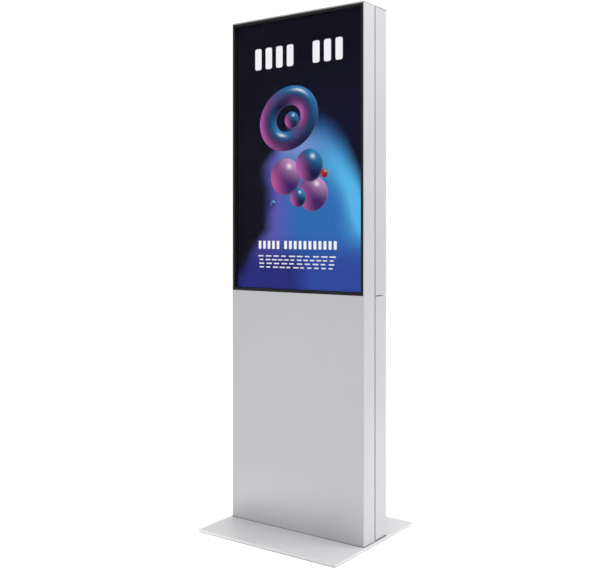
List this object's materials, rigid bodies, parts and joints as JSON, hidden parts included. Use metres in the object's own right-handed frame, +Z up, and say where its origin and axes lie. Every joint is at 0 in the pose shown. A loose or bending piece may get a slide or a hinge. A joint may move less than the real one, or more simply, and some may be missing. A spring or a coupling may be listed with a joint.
{
  "type": "touchscreen kiosk",
  "caption": "Free-standing portrait touchscreen kiosk: slim steel column on a flat base plate, black touch frame, hinged rear doors over the equipment.",
  "frame": {"origin": "middle of the underside of the foot pads", "axes": "+Z up along the column, the screen faces -Y, +X to the right of someone facing the screen"},
  "size_m": [0.575, 0.504, 1.811],
  "materials": {
    "silver_shell": "fine-texture silver powder coat",
    "silver_base": "fine-texture silver powder coat on thick plate",
    "zinc_steel": "zinc-plated folded steel",
    "black_steel": "satin black coated steel",
    "bright_screws": "bright zinc screws, nuts and rivets",
    "hinge_steel": "satin steel",
    "lock_chrome": "chrome-plated zinc",
    "black_frame": "satin black anodised frame",
    "touch_glass": "clear toughened glass, low reflection",
    "lit_screen": "lit display face with an abstract picture",
    "white_diffuser": "white diffuser sheet",
    "white_board": "white LED strip boards with lenses",
    "green_board": "green circuit boards with parts",
    "black_plastic": "moulded black plastic",
    "fan_plastic": "moulded dark plastic",
    "player_case": "dark anodised finned aluminium",
    "bright_button": "turned aluminium button",
    "white_plastic": "moulded white plastic",
    "red_rocker": "moulded red rocker",
    "pad_rubber": "black rubber pads",
    "seal_rubber": "black foam rubber strip",
    "grey_seal": "light grey rubber strip",
    "lead_jacket": "black cable jacket",
    "filter_foam": "open-cell filter foam"
  },
  "bodies": {
    "column": {"base_plate": "silver_base", "base_pads": "pad_rubber", "column_foot": "zinc_steel", "foot_bolts": "bright_screws", "foot_nuts": "bright_screws", "frame_uprights": "zinc_steel", "frame_cross_rails": "zinc_steel", "front_housing": "silver_shell", "housing_clips": "zinc_steel", "panel_stiffeners": "zinc_steel", "top_cap": "silver_shell", "top_cap_gasket": "seal_rubber", "top_cap_screws": "bright_screws", "touch_frame": "black_frame", "touch_sensor_boards": "green_board", "touch_glass": "touch_glass", "screen_cell": "lit_screen", "panel_bezel": "black_frame", "diffuser_plate": "white_diffuser", "led_bars": "white_board", "panel_chassis": "zinc_steel", "display_hook_rails": "black_steel", "display_mount_screws": "bright_screws", "driver_board": "green_board", "power_board": "green_board", "electronics_cover": "zinc_steel", "speakers": "black_plastic", "player_plate": "zinc_steel", "media_player": "player_case", "equipment_shelf": "zinc_steel", "socket_block": "white_plastic", "inlet_bracket": "zinc_steel", "mains_inlet": "black_plastic", "fan_plate": "zinc_steel", "fan_frames": "black_plastic", "hinge_column_leaves": "hinge_steel", "hinge_pins": "hinge_steel", "hinge_column_rivets": "bright_screws", "strike_brackets": "zinc_steel", "upper_seam_seal": "grey_seal", "lower_seam_seal": "seal_rubber", "mains_lead": "lead_jacket", "display_lead": "lead_jacket", "picture_lead": "lead_jacket", "cable_clips": "white_plastic"},
    "upper_door": {"upper_rear_door": "silver_shell", "upper_hinge_leaves": "hinge_steel", "upper_filter": "filter_foam", "upper_lock_body": "lock_chrome"},
    "lower_door": {"lower_rear_door": "silver_shell", "lower_hinge_leaves": "hinge_steel", "lower_filter": "filter_foam", "lower_lock_body": "lock_chrome", "cable_edging": "seal_rubber"},
    "upper_lock": {"upper_lock_cam": "lock_chrome"},
    "lower_lock": {"lower_lock_cam": "lock_chrome"},
    "left_rotor": {"left_fan_rotor": "fan_plastic"},
    "right_rotor": {"right_fan_rotor": "fan_plastic"},
    "rocker": {"main_switch": "red_rocker"},
    "button": {"player_button": "bright_button"}
  },
  "joints": [
    {"name": "upper_door_hinge", "type": "hinge", "parent": "column", "child": "upper_door", "pos_m": [-0.2845, -0.0022, 1.32], "axis": [0, 0, 1], "range_deg": [0, 110]},
    {"name": "lower_door_hinge", "type": "hinge", "parent": "column", "child": "lower_door", "pos_m": [-0.2845, -0.0022, 0.42], "axis": [0, 0, 1], "range_deg": [0, 110]},
    {"name": "upper_lock_turn", "type": "hinge", "parent": "upper_door", "child": "upper_lock", "pos_m": [0.2415, 0.0735, 1.38215], "axis": [0, -1, 0], "range_deg": [0, 90]},
    {"name": "lower_lock_turn", "type": "hinge", "parent": "lower_door", "child": "lower_lock", "pos_m": [0.2415, 0.0735, 0.48235], "axis": [0, -1, 0], "range_deg": [0, 90]},
    {"name": "left_fan_spin", "type": "hinge", "parent": "column", "child": "left_rotor", "pos_m": [-0.095, 0.0065, 1.661], "axis": [0, 1, 0], "continuous": true},
    {"name": "right_fan_spin", "type": "hinge", "parent": "column", "child": "right_rotor", "pos_m": [0.095, 0.0065, 1.661], "axis": [0, 1, 0], "continuous": true},
    {"name": "main_switch_rock", "type": "hinge", "parent": "column", "child": "rocker", "pos_m": [-0.096, 0.0305, 0.045], "axis": [1, 0, 0], "range_deg": [0, 12]},
    {"name": "player_button_press", "type": "slide", "parent": "column", "child": "button", "axis": [-1, 0, 0], "range_m": [0, 0.0012], "stiffness_N_per_m": 400, "springref_m": -0.001}
  ]
}
